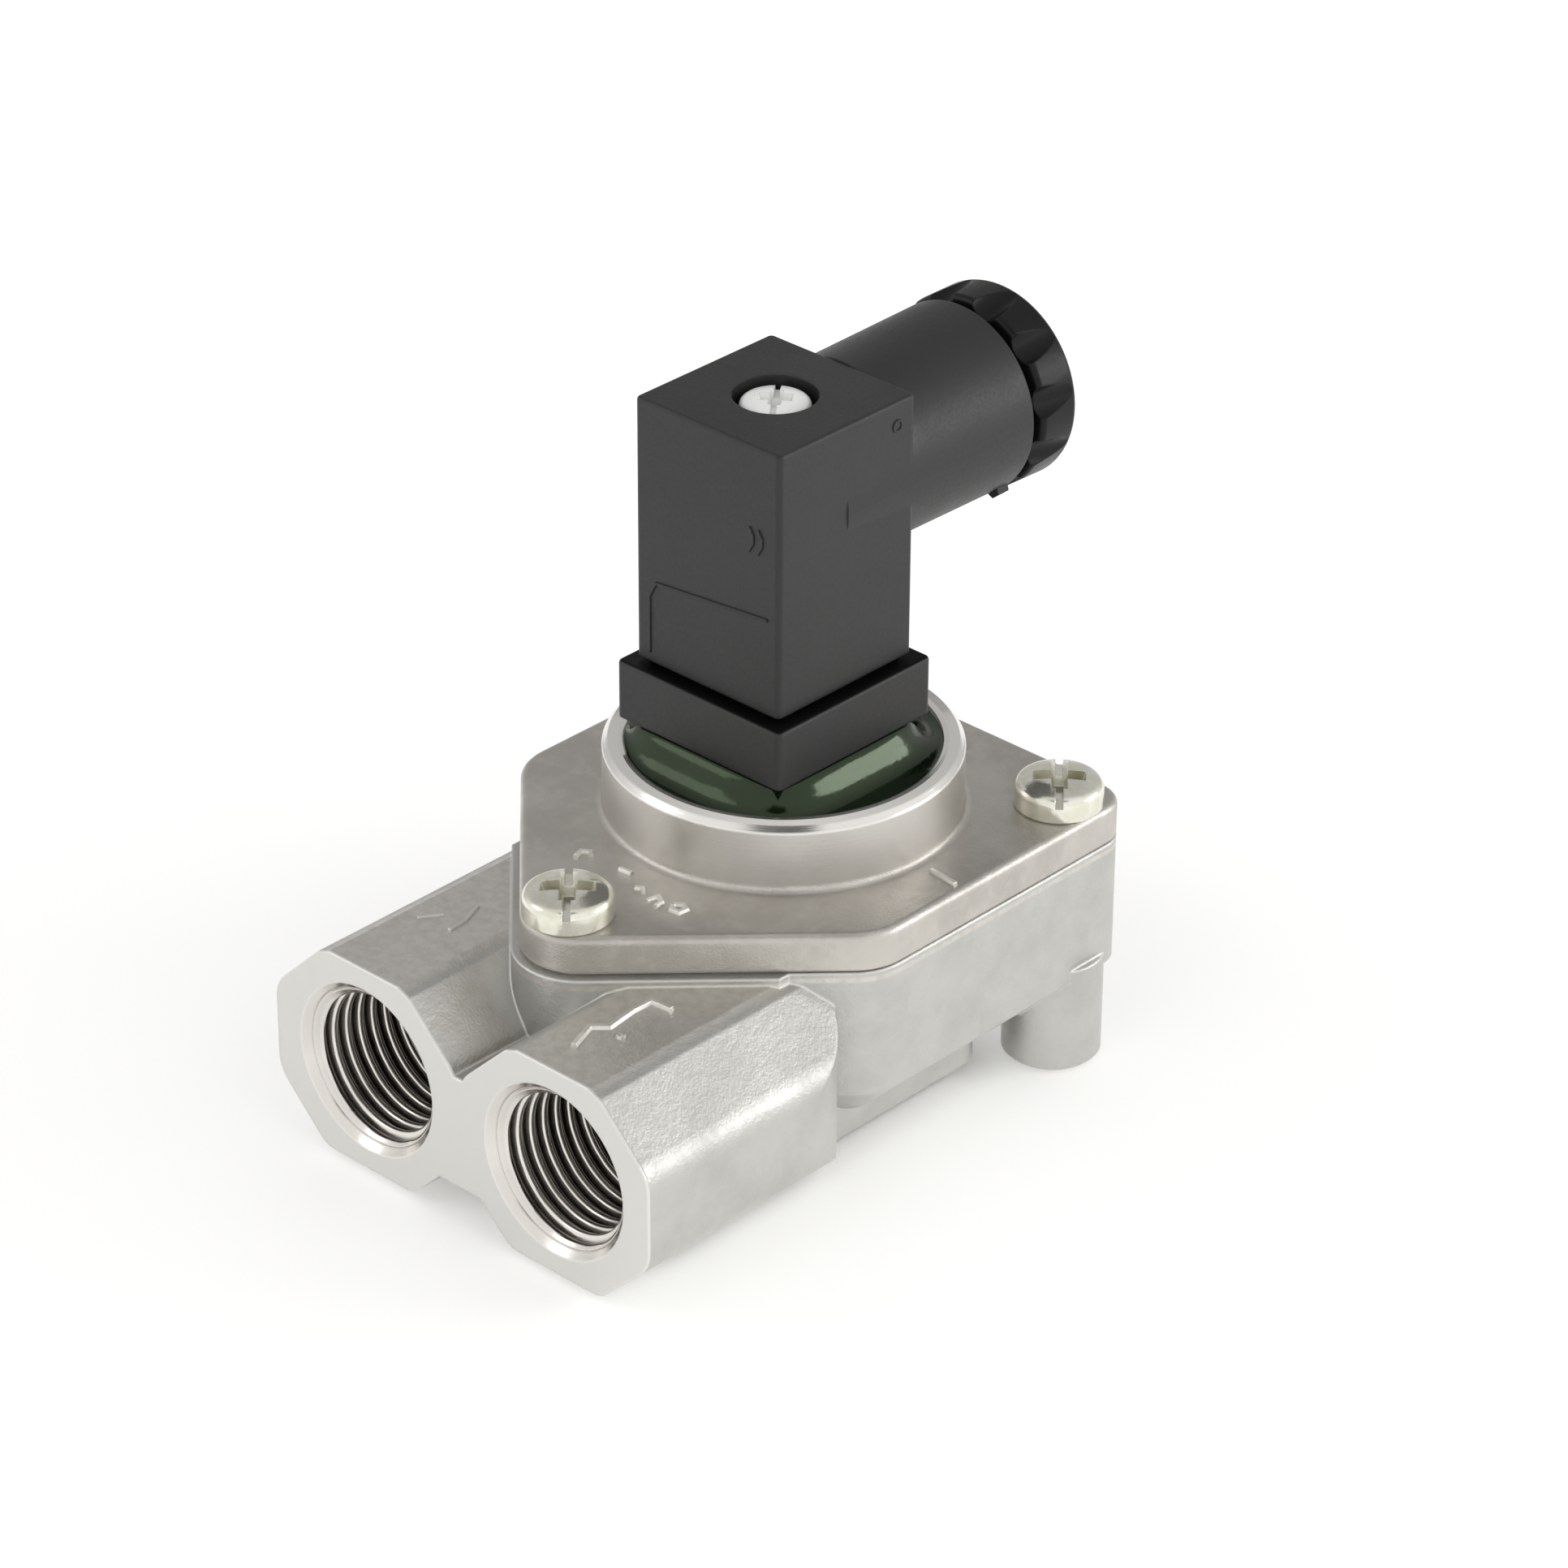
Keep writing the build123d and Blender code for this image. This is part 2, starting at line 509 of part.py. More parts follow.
def make_screw_seal():
    seal_bottom = PLUG_HEAD_BOTTOM - SCREW_SEAL_T
    return tube_z(PLUG_HEAD_R, PLUG_SCREW_R + PLUG_SCREW_GAP, seal_bottom, PLUG_HEAD_BOTTOM, PLUG_X, PLUG_Y)


def make_cable_grommet():
    sleeve = cylinder_y(GLAND_BORE_R, GROMMET_Y, WASHER_Y, PLUG_X, GLAND_Z)
    return sleeve - cylinder_y(CABLE_R, GROMMET_Y, WASHER_Y, PLUG_X, GLAND_Z)


def make_gland_washer():
    end_y = WASHER_Y + WASHER_T
    washer = cylinder_y(GLAND_BORE_R - WASHER_GAP, WASHER_Y, end_y, PLUG_X, GLAND_Z)
    return washer - cylinder_y(CABLE_R + WASHER_CABLE_GAP, WASHER_Y, end_y, PLUG_X, GLAND_Z)


def nut_scallop(angle):
    """Groove in the nut's rim: deepest at the inner end, running out before the outer end."""
    length = NUT_END_Y - NUT_START_Y
    tilt = degrees(atan2(SCALLOP_DEPTH, length - SCALLOP_LAND))
    cutter = Rot(0, 0, -tilt) * Rot(90, 0, 0) * Cylinder(SCALLOP_R, 2 * length)
    cutter = Pos(NUT_R + SCALLOP_R - SCALLOP_DEPTH, 0, 0) * cutter
    return Pos(PLUG_X, NUT_START_Y, GLAND_Z) * Rot(0, angle, 0) * cutter


def make_gland_nut():
    nut = cylinder_y(NUT_R, NUT_START_Y, NUT_END_Y, PLUG_X, GLAND_Z)
    nut = fillet(nut.edges().filter_by(GeomType.CIRCLE), NUT_EDGE_R)
    nut -= cylinder_y(SPIGOT_R + NUT_THREAD_GAP, NUT_START_Y, WASHER_Y + WASHER_T, PLUG_X, GLAND_Z)
    nut -= cylinder_y(NUT_HOLE_R, SPIGOT_END_Y, NUT_END_Y, PLUG_X, GLAND_Z)
    for index in range(NUT_SCALLOPS):
        nut -= nut_scallop(-FIRST_SCALLOP - 360 / NUT_SCALLOPS * index)
    return nut


NODES = {
    "valve_body": make_valve_body,
    "cover": make_cover,
    "cover_screws": make_cover_screws,
    "body_seal": make_body_seal,
    "guide_tube": make_guide_tube,
    "fixed_core": make_fixed_core,
    "plunger": make_plunger,
    "plunger_seal": make_plunger_seal,
    "return_spring": make_return_spring,
    "seat_insert": make_seat_insert,
    "lower_yoke_plate": make_lower_yoke_plate,
    "upper_yoke_plate": make_upper_yoke_plate,
    "yoke_ring": make_yoke_ring,
    "coil_bobbin": make_coil_bobbin,
    "coil_winding": make_coil_winding,
    "coil_leads": make_coil_leads,
    "potting_resin": make_potting_resin,
    "contact_pins": make_contact_pins,
    "connector_base": make_connector_base,
    "base_nut": make_base_nut,
    "plug_gasket": make_plug_gasket,
    "plug_housing": make_plug_housing,
    "terminal_carrier": make_terminal_carrier,
    "contact_sockets": make_contact_sockets,
    "terminal_screws": make_terminal_screws,
    "plug_screw": make_plug_screw,
    "screw_seal": make_screw_seal,
    "cable_grommet": make_cable_grommet,
    "gland_washer": make_gland_washer,
    "gland_nut": make_gland_nut,
}

os.makedirs("parts", exist_ok=True)
for name, make in NODES.items():
    export_step(make(), f"parts/{name}.step")
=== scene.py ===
import json
import math

import bmesh
import bpy
from mathutils import Matrix, Vector

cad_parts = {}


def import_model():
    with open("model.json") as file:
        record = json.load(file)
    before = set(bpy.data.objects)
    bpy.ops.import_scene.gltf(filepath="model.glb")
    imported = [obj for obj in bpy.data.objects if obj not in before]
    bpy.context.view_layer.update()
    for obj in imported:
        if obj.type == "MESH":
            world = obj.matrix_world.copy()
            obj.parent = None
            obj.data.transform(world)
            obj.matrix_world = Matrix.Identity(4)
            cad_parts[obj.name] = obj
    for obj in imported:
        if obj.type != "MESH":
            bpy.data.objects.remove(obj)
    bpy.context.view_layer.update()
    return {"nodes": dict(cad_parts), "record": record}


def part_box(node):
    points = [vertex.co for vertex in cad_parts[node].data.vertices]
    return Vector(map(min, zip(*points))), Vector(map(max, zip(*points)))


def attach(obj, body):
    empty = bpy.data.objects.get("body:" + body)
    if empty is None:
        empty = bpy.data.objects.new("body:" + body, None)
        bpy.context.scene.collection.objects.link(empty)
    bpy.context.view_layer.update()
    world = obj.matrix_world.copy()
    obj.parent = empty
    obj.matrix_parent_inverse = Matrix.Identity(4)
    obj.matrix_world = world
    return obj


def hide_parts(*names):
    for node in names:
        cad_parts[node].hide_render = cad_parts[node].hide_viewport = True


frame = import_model()
MM = 0.001


# ---------------------------------------------------------------- places read from the frame
def box_mm(node):
    lo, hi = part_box(node)
    return [c / MM for c in lo], [c / MM for c in hi]


def mount(name):
    return next(m for m in frame["record"]["mounts"] if m["name"] == name)


PORT_FACE = box_mm("valve_body")[0][1]
RIM_TOP = box_mm("cover")[1][2]
FLANGE_LO, FLANGE_HI = box_mm("connector_base")
SCREWS_LO, SCREWS_HI = box_mm("cover_screws")
PLUG_SCREW_LO, PLUG_SCREW_HI = box_mm("plug_screw")
PORT_X = mount("outlet_port")["pos_m"][0] / MM
PORT_Z = mount("outlet_port")["pos_m"][2] / MM
PORT_R = mount("outlet_port")["dims"]["r_mm"]
PORT_MOUTH = PORT_R + 0.62
BLOCK_TOP = PORT_Z + 9.0
COLLAR_R, COLLAR_BORE, COLLAR_HEIGHT = 14.0, 12.3, 5.6
PLATE_TOP = RIM_TOP - COLLAR_HEIGHT
PLUG_X = (PLUG_SCREW_LO[0] + PLUG_SCREW_HI[0]) / 2
PLUG_Y = (PLUG_SCREW_LO[1] + PLUG_SCREW_HI[1]) / 2
GLAND_Z = mount("cable_entry")["pos_m"][2] / MM
FLANGE_KEY = 1.5  # locating key under the connector's flange
FLANGE_BOTTOM = FLANGE_LO[2] + FLANGE_KEY
FLANGE_HALF = (FLANGE_HI[0] - FLANGE_LO[0]) / 2
FLANGE_LEDGE = FLANGE_HI[2] - 2.55
COLUMN_HALF = 7.4
COLUMN_RIGHT, COLUMN_FRONT = PLUG_X + COLUMN_HALF, PLUG_Y - COLUMN_HALF
RESIN_LEVEL, RESIN_SHELF, SHELF_ROUND, RESIN_REACH, WALL_CLIMB = 26.9, 0.4, 0.25, 0.66, 0.3
RESIN_CORNER_POWER = 4.0
COVER_HEAD_R = 3.5
PLUG_HEAD_H = 1.8
PLUG_HEAD_R = (PLUG_SCREW_HI[0] - PLUG_SCREW_LO[0]) / 2
PLUG_HEAD_SEAT = PLUG_SCREW_HI[2] - PLUG_HEAD_H
LONG_SCREW = 12.0  # a screw from this length on shows its thread

# ---------------------------------------------------------------- looks
RIM_LEAN = 0.55  # how far the rim's normals lean out, which gives it a turned rim's reflections
FLOOR_GLOW = 0.33
BACK_LEVEL, ZENITH_LEVEL, PATCH_LEVEL = 0.52, 0.8, 0.06
SENSOR_MM, LENS_MM = 36.0, 135.466
CAMERA_PLACE = (268.364, -287.932, 251.504)


# ---------------------------------------------------------------- node helpers
class Tree:
    """A material's node tree with short calls for the nodes used here."""

    def __init__(self, name):
        self.mat = bpy.data.materials.new(name)
        self.mat.use_nodes = True
        self.nodes, self.links = self.mat.node_tree.nodes, self.mat.node_tree.links
        self.shader = self.nodes["Principled BSDF"]
        coords = self.nodes.new("ShaderNodeTexCoord")
        self.place = coords.outputs["Object"]

    def put(self, socket, value):
        if isinstance(value, bpy.types.NodeSocket):
            self.links.new(value, socket)
        elif value is not None:
            socket.default_value = value

    def noise(self, scale, detail=3.0, rough=0.5, vector=None, distortion=0.0):
        n = self.nodes.new("ShaderNodeTexNoise")
        n.inputs["Scale"].default_value = scale
        n.inputs["Detail"].default_value = detail
        n.inputs["Roughness"].default_value = rough
        n.inputs["Distortion"].default_value = distortion
        self.put(n.inputs["Vector"], vector or self.place)
        return n.outputs["Fac"]

    def math(self, kind, a, b=0.0, c=0.0):
        n = self.nodes.new("ShaderNodeMath")
        n.operation = kind
        for socket, value in zip(n.inputs, (a, b, c)):
            self.put(socket, value)
        return n.outputs[0]

    def span(self, value, low, high, to_low=0.0, to_high=1.0):
        """value mapped smoothly from low..high to to_low..to_high, clamped."""
        n = self.nodes.new("ShaderNodeMapRange")
        n.interpolation_type = "SMOOTHSTEP"
        self.put(n.inputs["Value"], value)
        for key, v in (("From Min", low), ("From Max", high), ("To Min", to_low), ("To Max", to_high)):
            n.inputs[key].default_value = v
        return n.outputs["Result"]

    def mix(self, fac, a, b):
        n = self.nodes.new("ShaderNodeMix")
        n.data_type = "RGBA"
        self.put(n.inputs[0], fac)
        self.put(n.inputs[6], a)
        self.put(n.inputs[7], b)
        return n.outputs[2]

    def split(self):
        n = self.nodes.new("ShaderNodeSeparateXYZ")
        self.links.new(self.place, n.inputs[0])
        return n.outputs

    def stretch(self, x, y, z):
        """Object coordinates scaled by axis, for grain that runs one way."""
        n = self.nodes.new("ShaderNodeVectorMath")
        n.operation = "MULTIPLY"
        self.links.new(self.place, n.inputs[0])
        n.inputs[1].default_value = (x, y, z)
        return n.outputs[0]

    def combine(self, x=0.0, y=0.0, z=0.0):
        n = self.nodes.new("ShaderNodeCombineXYZ")
        for socket, value in zip(n.inputs, (x, y, z)):
            self.put(socket, value)
        return n.outputs[0]

    def bevel(self, radius_mm, samples=6):
        n = self.nodes.new("ShaderNodeBevel")
        n.samples = samples
        n.inputs["Radius"].default_value = radius_mm * MM
        return n.outputs[0]

    def edge_mask(self, bevel_normal):
        """1 on edges where the rounded normal leaves the true one, 0 on flats."""
        geometry = self.nodes.new("ShaderNodeNewGeometry")
        n = self.nodes.new("ShaderNodeVectorMath")
        n.operation = "DOT_PRODUCT"
        self.links.new(bevel_normal, n.inputs[0])
        self.links.new(geometry.outputs["Normal"], n.inputs[1])
        return self.span(n.outputs["Value"], 0.995, 0.85)

    def bump(self, height, distance_mm, normal=None, strength=1.0):
        n = self.nodes.new("ShaderNodeBump")
        n.inputs["Strength"].default_value = strength
        n.inputs["Distance"].default_value = distance_mm * MM
        self.links.new(height, n.inputs["Height"])
        if normal is not None:
            self.links.new(normal, n.inputs["Normal"])
        return n.outputs[0]

    def blend(self, fac, a, b):
        """Unit vector between two directions."""
        n = self.nodes.new("ShaderNodeMix")
        n.data_type = "VECTOR"
        self.put(n.inputs[0], fac)
        self.put(n.inputs[4], a)
        self.put(n.inputs[5], b)
        unit = self.nodes.new("ShaderNodeVectorMath")
        unit.operation = "NORMALIZE"
        self.links.new(n.outputs[1], unit.inputs[0])
        return unit.outputs[0]

    def finish(self, **sockets):
        for key, value in sockets.items():
            self.put(self.shader.inputs[key.replace("_", " ")], value)
        return self.mat


def rgb(r, g, b):
    return (r, g, b, 1.0)


def from_axis(t, a, b):
    """Distance from an axis, given the two coordinates across it."""
    return t.math("SQRT", t.math("ADD", t.math("MULTIPLY", a, a), t.math("MULTIPLY", b, b)))


def port_radius(t):
    """Distance from the nearer port's axis."""
    x, y, z = t.split()
    across = t.math("SUBTRACT", t.math("ABSOLUTE", x), PORT_X * MM)
    return from_axis(t, across, t.math("SUBTRACT", z, PORT_Z * MM))


def cast_body(name):
    """Nickel-plated casting: blasted grain, mottling, painted highlight on edges, painted shade between the
    ports, milled port faces, darker raw tops.
    """
    t = Tree(name)
    x, y, z = t.split()
    soft = t.bevel(0.35)
    mottle = t.noise(160, 4, 0.6)
    grain = t.noise(4200, 2, 0.6)
    pits = t.noise(1100, 3, 0.6)
    shade_breakup = t.noise(75, 4, 0.65)
    colour = t.mix(t.span(mottle, 0.35, 0.68), rgb(0.575, 0.572, 0.548), rgb(0.515, 0.512, 0.488))
    raw = t.math("MULTIPLY", t.span(z, (BLOCK_TOP - 0.35) * MM, (BLOCK_TOP - 0.1) * MM),
                 t.span(z, (BLOCK_TOP + 0.3) * MM, (BLOCK_TOP + 0.1) * MM))
    raw_tone = t.mix(t.span(pits, 0.35, 0.7), rgb(0.68, 0.66, 0.62), rgb(0.60, 0.58, 0.54))
    colour = t.mix(raw, colour, raw_tone)
    # Painted shade: the web between the port blocks, just behind the port face, is darkened to a warm brown
    # and broken up by noise.
    between = t.math("MULTIPLY", t.span(t.math("ABSOLUTE", x), (PORT_X - 4.2) * MM, (PORT_X - 6.2) * MM),
                     t.span(y, (PORT_FACE + 7.8) * MM, (PORT_FACE + 5.8) * MM))
    between = t.math("MULTIPLY", between, t.span(y, (PORT_FACE + 0.1) * MM, (PORT_FACE + 0.4) * MM))
    painted_shade_between = t.math("MULTIPLY", between, t.span(shade_breakup, 0.35, 0.7, 0.15, 0.7))
    colour = t.mix(painted_shade_between, colour, rgb(0.38, 0.35, 0.31))
    cut = t.span(y, (PORT_FACE + 0.25) * MM, (PORT_FACE + 0.12) * MM)
    colour = t.mix(cut, colour, rgb(0.69, 0.685, 0.66))
    cone = t.math("MULTIPLY", t.span(port_radius(t), (PORT_MOUTH + 0.06) * MM, (PORT_MOUTH - 0.02) * MM),
                  t.span(y, (PORT_FACE + 0.9) * MM, (PORT_FACE + 0.7) * MM))
    colour = t.mix(cone, colour, rgb(0.74, 0.71, 0.675))
    # Painted highlight: edges found by the bevel normal are lightened towards near-white.
    colour = t.mix(t.math("MULTIPLY", t.edge_mask(soft), 0.8), colour, rgb(0.93, 0.92, 0.89))
    rough = t.math("ADD", t.span(mottle, 0.3, 0.7, 0.40, 0.48), t.span(pits, 0.3, 0.7, -0.03, 0.03))
    rough = t.math("SUBTRACT", rough, t.math("MULTIPLY", cut, 0.06))
    rough = t.math("SUBTRACT", rough, t.math("MULTIPLY", cone, 0.22))
    height = t.math("ADD", t.math("MULTIPLY", grain, 0.6), t.math("MULTIPLY", pits, 0.9))
    smooth = t.math("MAXIMUM", t.math("MULTIPLY", cut, 0.8), cone)
    height = t.math("MULTIPLY", height, t.math("SUBTRACT", 1.0, smooth))
    return t.finish(Base_Color=colour, Metallic=0.92, Roughness=rough, Normal=t.bump(height, 0.05, soft))


def thread_metal(name):
    """Cut thread: bright crests, with painted shade darkening the roots."""
    t = Tree(name)
    x, y, z = t.split()
    painted_root_shade = t.span(port_radius(t), (PORT_R - 0.50) * MM, (PORT_R - 0.10) * MM)
    far = t.span(y, (PORT_FACE + 1.6) * MM, (PORT_FACE + 0.7) * MM)
    cloud = t.noise(300, 3, 0.6)
    # Painted shade: the thread's roots are coloured near-black.
    tone = t.mix(painted_root_shade, rgb(0.80, 0.77, 0.73), rgb(0.10, 0.088, 0.078))
    tone = t.mix(far, tone, rgb(0.72, 0.69, 0.66))
    rough = t.span(cloud, 0.3, 0.7, 0.17, 0.27)
    return t.finish(Base_Color=tone, Metallic=1.0, Roughness=rough, Normal=t.bump(cloud, 0.01))


def turned_collar(t):
    """The collar's turned outside and rim, told by radius and height."""
    x, y, z = t.split()
    inside = t.span(from_axis(t, x, y), (COLLAR_R + 0.5) * MM, (COLLAR_R + 0.1) * MM)
    above = t.span(z, (PLATE_TOP + 0.3) * MM, (PLATE_TOP + 0.7) * MM)
    return t.math("MULTIPLY", inside, above)


def cover_metal(name):
    """Cover: blasted plate, and a collar with turning lines and a bright rim."""
    t = Tree(name)
    soft = t.bevel(0.3)
    x, y, z = t.split()
    radius = from_axis(t, x, y)
    collar = turned_collar(t)
    rim = t.math("MULTIPLY", collar, t.span(z, (RIM_TOP - 0.75) * MM, (RIM_TOP - 0.45) * MM))
    mottle = t.noise(120, 4, 0.65)
    fine = t.noise(700, 4, 0.6)
    grain = t.noise(5600, 2, 0.6)
    lines = t.noise(1.0, 2, 0.5, t.combine(t.math("MULTIPLY", z, 9000), t.math("MULTIPLY", radius, 9000)))
    colour = t.mix(t.span(mottle, 0.35, 0.65), rgb(0.585, 0.56, 0.52), rgb(0.50, 0.475, 0.44))
    colour = t.mix(t.span(fine, 0.45, 0.75, 0, 0.5), colour, rgb(0.64, 0.615, 0.58))
    colour = t.mix(collar, colour, rgb(0.63, 0.61, 0.58))
    colour = t.mix(rim, colour, rgb(0.84, 0.82, 0.79))
    # Painted highlight: edges found by the bevel normal are lightened.
    colour = t.mix(t.math("MULTIPLY", t.edge_mask(soft), 0.5), colour, rgb(0.88, 0.86, 0.83))
    rough = t.span(mottle, 0.3, 0.7, 0.34, 0.44)
    rough = t.math("SUBTRACT", rough, t.math("MULTIPLY", rim, 0.25))
    blast = t.math("MULTIPLY", grain, t.math("SUBTRACT", 1.0, collar))
    height = t.math("ADD", blast, t.math("MULTIPLY", t.math("MULTIPLY", lines, collar), 0.5))
    lean = t.math("DIVIDE", RIM_LEAN, radius)
    leaning = t.combine(t.math("MULTIPLY", x, lean), t.math("MULTIPLY", y, lean), 1.0)
    top = t.math("MULTIPLY", t.span(z, (RIM_TOP - 0.04) * MM, (RIM_TOP - 0.02) * MM),
                 t.span(radius, (COLLAR_BORE + 0.35) * MM, (COLLAR_BORE + 0.5) * MM))
    normal = t.blend(top, t.bump(height, 0.03, soft), leaning)
    return t.finish(Base_Color=colour, Metallic=0.92, Roughness=rough, Normal=normal)


def turned_steel(name, colour, rough, line_axis=(0, 0, 1), edge=0.12):
    """Turned or drawn metal with fine lines across one axis."""
    t = Tree(name)
    soft = t.bevel(edge, 4)
    lines = t.noise(1.0, 2, 0.5, t.stretch(*[9000 if a else 60 for a in line_axis]))
    mottle = t.noise(500, 3, 0.6)
    tone = t.mix(t.span(mottle, 0.35, 0.7), rgb(*colour), rgb(*[c * 0.86 for c in colour]))
    # Painted highlight: edges are lightened above the metal's own tone.
    tone = t.mix(t.math("MULTIPLY", t.edge_mask(soft), 0.4), tone, rgb(*[min(1, c * 1.15) for c in colour]))
    roughness = t.span(t.math("ADD", lines, mottle), 0.7, 1.3, rough - 0.05, rough + 0.07)
    return t.finish(Base_Color=tone, Metallic=1.0, Roughness=roughness, Normal=t.bump(lines, 0.006, soft))


def zinc(name, bright, tint, metallic=1.0):
    """Zinc plate with its passivation's faint tint."""
    t = Tree(name)
    soft = t.bevel(0.12, 4)
    cloud = t.noise(420, 4, 0.6)
    fine = t.noise(4200, 3, 0.6)
    tone = t.mix(t.span(cloud, 0.35, 0.65), rgb(*bright), rgb(*tint))
    # Painted highlight: edges are lightened towards near-white.
    tone = t.mix(t.math("MULTIPLY", t.edge_mask(soft), 0.5), tone, rgb(0.95, 0.95, 0.92))
    rough = t.span(cloud, 0.3, 0.7, 0.13, 0.22)
    return t.finish(Base_Color=tone, Metallic=metallic, Roughness=rough, Normal=t.bump(fine, 0.008, soft))


def moulded(name, colour, rough=0.5, grain=0.012, edge=0.2, specular=0.5, painted_shadow_above=None):
    """Glass-filled moulded plastic: spark-eroded grain, a painted highlight on its edges and, when a height
    is given, a painted shadow above it.
    """
    t = Tree(name)
    soft = t.bevel(edge, 4)
    fine = t.noise(3600, 4, 0.65)
    broad = t.noise(90, 3, 0.6)
    streak = t.noise(1.0, 3, 0.6, t.stretch(420, 420, 160))
    tone = t.mix(t.span(broad, 0.35, 0.7), rgb(*colour), rgb(*[c * 1.25 for c in colour]))
    tone = t.mix(t.span(streak, 0.55, 0.8, 0, 0.35), tone, rgb(*[c * 1.6 for c in colour]))
    # Painted highlight: edges are lightened to 2.2 times the plastic's colour.
    tone = t.mix(t.math("MULTIPLY", t.edge_mask(soft), 0.35), tone, rgb(*[c * 2.2 for c in colour]))
    # Painted shadow: above the given height the tone drops to 0.15 of the colour and the specular to a
    # quarter, for the flange's ledge round the column.
    if painted_shadow_above is not None:
        z = t.split()[2]
        edges = painted_shadow_above * MM, (painted_shadow_above + 0.12) * MM
        tone = t.mix(t.span(z, *edges), tone, rgb(*[c * 0.15 for c in colour]))
        specular = t.span(z, *edges, specular, specular * 0.25)
    t.put(t.shader.inputs["Specular IOR Level"], specular)
    uneven = t.span(broad, 0.3, 0.7, rough - 0.05, rough + 0.05)
    roughness = t.math("ADD", uneven, t.span(fine, 0.3, 0.7, -0.04, 0.04))
    height = t.math("ADD", fine, t.math("MULTIPLY", streak, 0.5))
    return t.finish(Base_Color=tone, Roughness=roughness, Normal=t.bump(height, grain, soft))


def potting(name):
    """Cast resin: near-black green, poured smooth and glossy."""
    t = Tree(name)
    swirl = t.noise(260, 3, 0.5, distortion=0.6)
    dust = t.noise(2600, 2, 0.5)
    tone = t.mix(t.span(swirl, 0.35, 0.7), rgb(0.0016, 0.006, 0.0011), rgb(0.003, 0.012, 0.002))
    rough = t.span(dust, 0.4, 0.75, 0.10, 0.18)
    t.shader.inputs["Specular Tint"].default_value = rgb(0.72, 0.90, 0.62)
    t.shader.inputs["Specular IOR Level"].default_value = 0.62
    return t.finish(Base_Color=tone, Roughness=rough, Normal=t.bump(swirl, 0.05))


def rubber(name):
    t = Tree(name)
    fine = t.noise(2600, 4, 0.6)
    tone = t.mix(t.span(fine, 0.35, 0.7), rgb(0.012, 0.012, 0.012), rgb(0.022, 0.022, 0.021))
    return t.finish(Base_Color=tone, Roughness=t.span(fine, 0.3, 0.7, 0.62, 0.78), Normal=t.bump(fine, 0.02))


def wound_copper(name):
    """Enamelled wire: turns drawn across the winding's axis, with painted shade in the grooves between turns
    and a painted highlight on their crests.
    """
    t = Tree(name)
    wave = t.math("SINE", t.math("MULTIPLY", t.split()[2], 2 * math.pi / (0.18 * MM)))
    # Painted shade and highlight: the tone follows the same wave as the bump, dark in each groove and bright
    # on each crest.
    tone = t.mix(t.span(wave, -1, 1), rgb(0.42, 0.13, 0.05), rgb(0.78, 0.32, 0.14))
    rough = t.span(t.noise(900), 0.3, 0.7, 0.25, 0.38)
    return t.finish(Base_Color=tone, Metallic=0.9, Roughness=rough, Normal=t.bump(wave, 0.03))


# ---------------------------------------------------------------- materials
CAST = cast_body("cast_metal")
COVER = cover_metal("cover_metal")
THREAD = thread_metal("thread_metal")
ZINC = zinc("zinc_plate", (0.88, 0.87, 0.80), (0.76, 0.75, 0.63), 0.85)
# Painted highlight: the raised marks get a metal far brighter than the casting, for the light their edges
# catch.
MARK_HIGHLIGHT = turned_steel("marks_painted_highlight", (0.88, 0.86, 0.82), 0.36)
BLACK = moulded("black_plastic", (0.0125, 0.0125, 0.0125), 0.46)
BLACK_NUT = moulded("black_nut", (0.006, 0.006, 0.0058), 0.34, 0.006, specular=0.2)
# Painted shadow on the flange's ledge round the column.
BLACK_BASE = moulded("black_base", (0.0125, 0.0125, 0.0125), 0.46, painted_shadow_above=FLANGE_LEDGE)
ZINC_WHITE = zinc("zinc_bright", (0.98, 0.985, 0.975), (0.93, 0.94, 0.93), 0.05)
RESIN = potting("resin")
STAINLESS = turned_steel("stainless", (0.62, 0.62, 0.63), 0.26)
IRON = turned_steel("soft_iron", (0.50, 0.50, 0.51), 0.38)
NYLON = moulded("nylon", (0.55, 0.51, 0.43), 0.5)
COPPER = wound_copper("copper")
BRASS = turned_steel("brass", (0.74, 0.56, 0.26), 0.25)
RUBBER = rubber("black_rubber")
BY_SLOT = {
    "cast_metal": CAST, "zinc_steel": ZINC, "black_plastic": BLACK, "resin": RESIN, "stainless": STAINLESS,
    "soft_iron": IRON, "nylon": NYLON, "copper": COPPER, "brass": BRASS, "black_rubber": RUBBER,
}


def paint(obj, material):
    obj.data.materials.clear()
    obj.data.materials.append(material)


for row in frame["record"]["subparts"]:
    paint(frame["nodes"][row["node"]], BY_SLOT[row["material_slot"]])
paint(frame["nodes"]["cover"], COVER)
paint(frame["nodes"]["gland_nut"], BLACK_NUT)
paint(frame["nodes"]["connector_base"], BLACK_BASE)


# ---------------------------------------------------------------- mesh helpers
def solid(name, verts_mm, faces):
    """Plain object from a mesh in millimetres, its normals pointing outwards."""
    mesh = bpy.data.meshes.new(name)
    mesh.from_pydata([Vector(v) * MM for v in verts_mm], [], faces)
    mesh.validate()
    bm = bmesh.new()
    bm.from_mesh(mesh)
    bmesh.ops.recalc_face_normals(bm, faces=bm.faces)
    bm.to_mesh(mesh)
    bm.free()
    obj = bpy.data.objects.new(name, mesh)
    bpy.context.scene.collection.objects.link(obj)
    return obj


def finish_piece(obj, material, body, smooth=True):
    """A visible piece's shading, material and body."""
    for polygon in obj.data.polygons:
        polygon.use_smooth = smooth
    paint(obj, material)
    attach(obj, body)
    return obj


